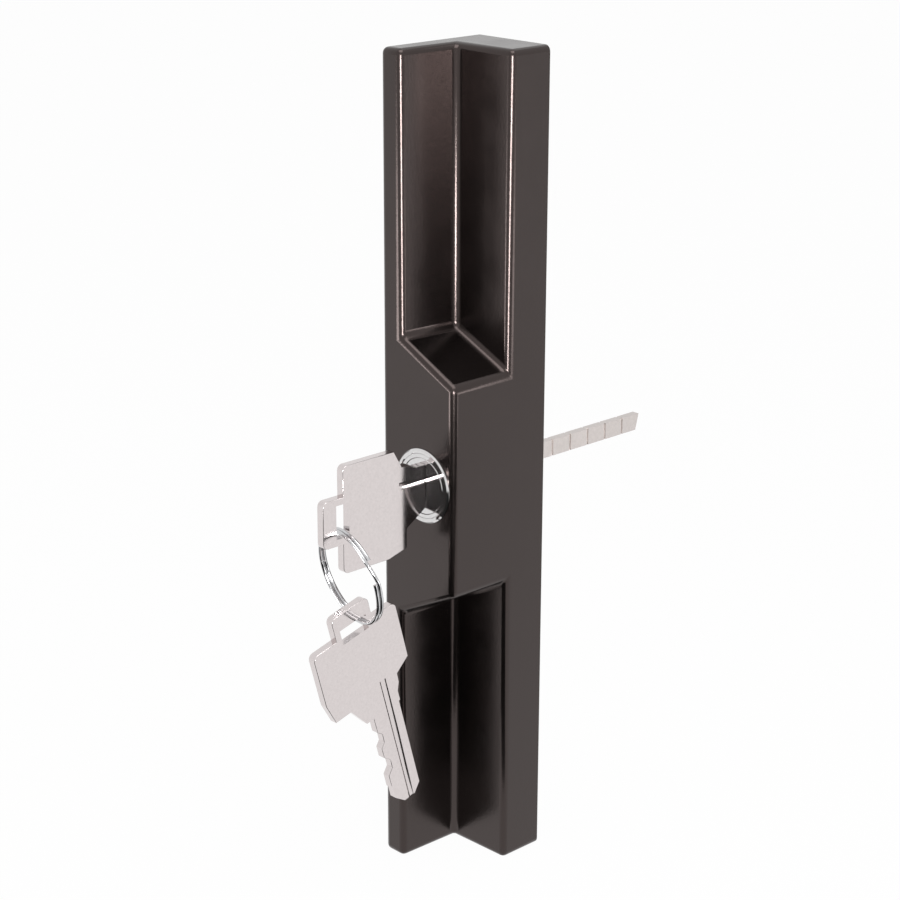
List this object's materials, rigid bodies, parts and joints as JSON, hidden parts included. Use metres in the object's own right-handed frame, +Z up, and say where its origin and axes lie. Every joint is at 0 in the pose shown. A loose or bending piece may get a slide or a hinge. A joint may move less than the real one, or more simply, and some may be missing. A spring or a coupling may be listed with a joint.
{
  "type": "sliding patio door lock",
  "caption": "Outside pull of a sliding patio door lock: a tall charcoal bar with finger notches, a key cylinder with a scored tailpiece, and keys on a split ring.",
  "frame": {"origin": "middle of the back face that lies on the door, half way between the two screw bosses", "axes": "+X to the right seen from outside, +Y into the door along the lock axis, +Z up along the pull"},
  "size_m": [0.0264, 0.1097, 0.2032],
  "materials": {
    "pull_paint": "semi-gloss charcoal paint on zinc casting",
    "bright_chrome": "polished chrome plate",
    "shell_brass": "machined brass",
    "pin_brass": "turned brass",
    "spring_steel": "bright spring wire",
    "zinc_steel": "zinc-plated steel",
    "tail_steel": "plain rolled steel",
    "key_nickel": "nickel-plated brass, satin",
    "ring_steel": "nickel-plated spring steel"
  },
  "bodies": {
    "pull": {"pull_body": "pull_paint", "cylinder_bezel": "bright_chrome", "cylinder_shell": "shell_brass", "driver_pin_1": "pin_brass", "driver_pin_2": "pin_brass", "driver_pin_3": "pin_brass", "driver_pin_4": "pin_brass", "driver_pin_5": "pin_brass", "pin_spring_1": "spring_steel", "pin_spring_2": "spring_steel", "pin_spring_3": "spring_steel", "pin_spring_4": "spring_steel", "pin_spring_5": "spring_steel", "chamber_cover": "pin_brass", "retainer_plate": "zinc_steel", "retainer_screws": "zinc_steel"},
    "plug": {"lock_plug": "bright_chrome", "key_pin_1": "pin_brass", "key_pin_2": "pin_brass", "key_pin_3": "pin_brass", "key_pin_4": "pin_brass", "key_pin_5": "pin_brass", "plug_clip": "zinc_steel", "tailpiece": "tail_steel", "tailpiece_pin": "zinc_steel"},
    "key_in_lock": {"lock_key": "key_nickel"},
    "ring": {"key_ring": "ring_steel"},
    "spare": {"spare_key": "key_nickel"}
  },
  "joints": [
    {"name": "plug_turn", "type": "hinge", "parent": "pull", "child": "plug", "pos_m": [0.002, -0.03, 0], "axis": [0, 1, 0], "range_deg": [-90, 90]},
    {"name": "key_pull", "type": "slide", "parent": "plug", "child": "key_in_lock", "axis": [0, -1, 0], "range_m": [0, 0.03]},
    {"name": "ring_swing", "type": "hinge", "parent": "key_in_lock", "child": "ring", "pos_m": [0.002, -0.0554, -0.00518], "axis": [1, 0, 0], "range_deg": [-60, 5]},
    {"name": "spare_swing", "type": "hinge", "parent": "ring", "child": "spare", "pos_m": [0.002, -0.05051, -0.02817], "axis": [1, 0, 0], "range_deg": [-30, 5]}
  ]
}
